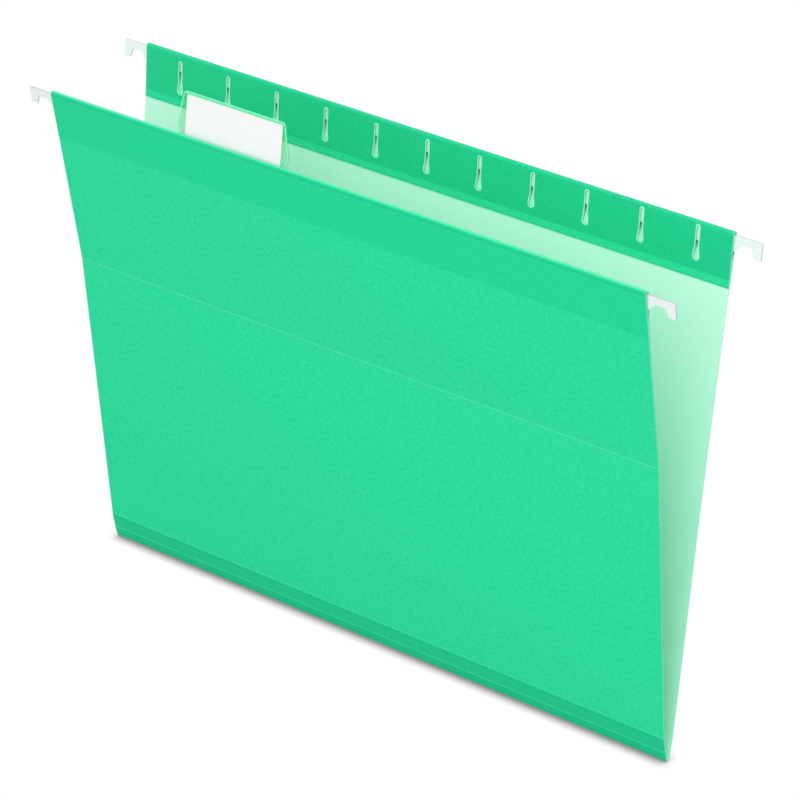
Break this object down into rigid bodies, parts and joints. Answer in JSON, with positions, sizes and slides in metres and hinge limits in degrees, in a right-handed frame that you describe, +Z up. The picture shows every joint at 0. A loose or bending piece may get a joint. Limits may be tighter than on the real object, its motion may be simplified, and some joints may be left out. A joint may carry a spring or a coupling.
{
  "type": "hanging file folder",
  "caption": "Open V-shaped card folder with slotted hems over hooked hanger rails, scored bottom folds, and a clear index tab with a paper label.",
  "frame": {"origin": "middle of the bottom crease, on its underside", "axes": "+X along the width to the right seen from the front, -Y towards the front leaf, +Z up"},
  "size_m": [0.3238, 0.0645, 0.2507],
  "materials": {
    "card": "matte dyed card",
    "film": "satin laminate",
    "glue": "dried glue",
    "hanger": "white coat",
    "tab": "clear",
    "label": "matte white card"
  },
  "bodies": {
    "bottom": {"bottom_ridge": "card", "bottom_film": "film"},
    "tab": {"tab_holder": "tab"},
    "label": {"label_insert": "label"},
    "front_lower": {"front_lower_strip": "card", "front_lower_film": "film"},
    "front_upper": {"front_upper_strip": "card", "front_upper_film": "film"},
    "front_leaf": {"front_panel": "card", "front_top_film": "film", "front_flap_glue": "glue", "front_hanger": "hanger"},
    "rear_lower": {"rear_lower_strip": "card", "rear_lower_film": "film"},
    "rear_upper": {"rear_upper_strip": "card", "rear_upper_film": "film"},
    "rear_leaf": {"rear_panel": "card", "rear_top_film": "film", "rear_flap_glue": "glue", "rear_hanger": "hanger"}
  },
  "joints": [
    {"name": "front_fold", "type": "hinge", "parent": "bottom", "child": "front_lower", "pos_m": [0, -0.0005, 0.0004], "axis": [1, 0, 0], "range_deg": [-5.5, 72]},
    {"name": "front_lower_score", "type": "hinge", "parent": "front_lower", "child": "front_upper", "pos_m": [0, -0.00182, 0.00533], "axis": [1, 0, 0], "range_deg": [0, 4]},
    {"name": "front_upper_score", "type": "hinge", "parent": "front_upper", "child": "front_leaf", "pos_m": [0, -0.00325, 0.01269], "axis": [1, 0, 0], "range_deg": [0, 5.33]},
    {"name": "rear_fold", "type": "hinge", "parent": "bottom", "child": "rear_lower", "pos_m": [0, 0.0005, 0.0004], "axis": [-1, 0, 0], "range_deg": [-6, 75]},
    {"name": "rear_lower_score", "type": "hinge", "parent": "rear_lower", "child": "rear_upper", "pos_m": [0, 0.00182, 0.00533], "axis": [-1, 0, 0], "range_deg": [0, 4]},
    {"name": "rear_upper_score", "type": "hinge", "parent": "rear_upper", "child": "rear_leaf", "pos_m": [0, 0.00325, 0.01269], "axis": [-1, 0, 0], "range_deg": [0, 4.09]},
    {"name": "tab_slide", "type": "slide", "parent": "front_leaf", "child": "tab", "axis": [0, 0.1053, -0.9944], "range_m": [0, 0.00645]},
    {"name": "label_slide", "type": "slide", "parent": "tab", "child": "label", "axis": [1, 0, 0], "range_m": [-0.052, 0.052]}
  ]
}
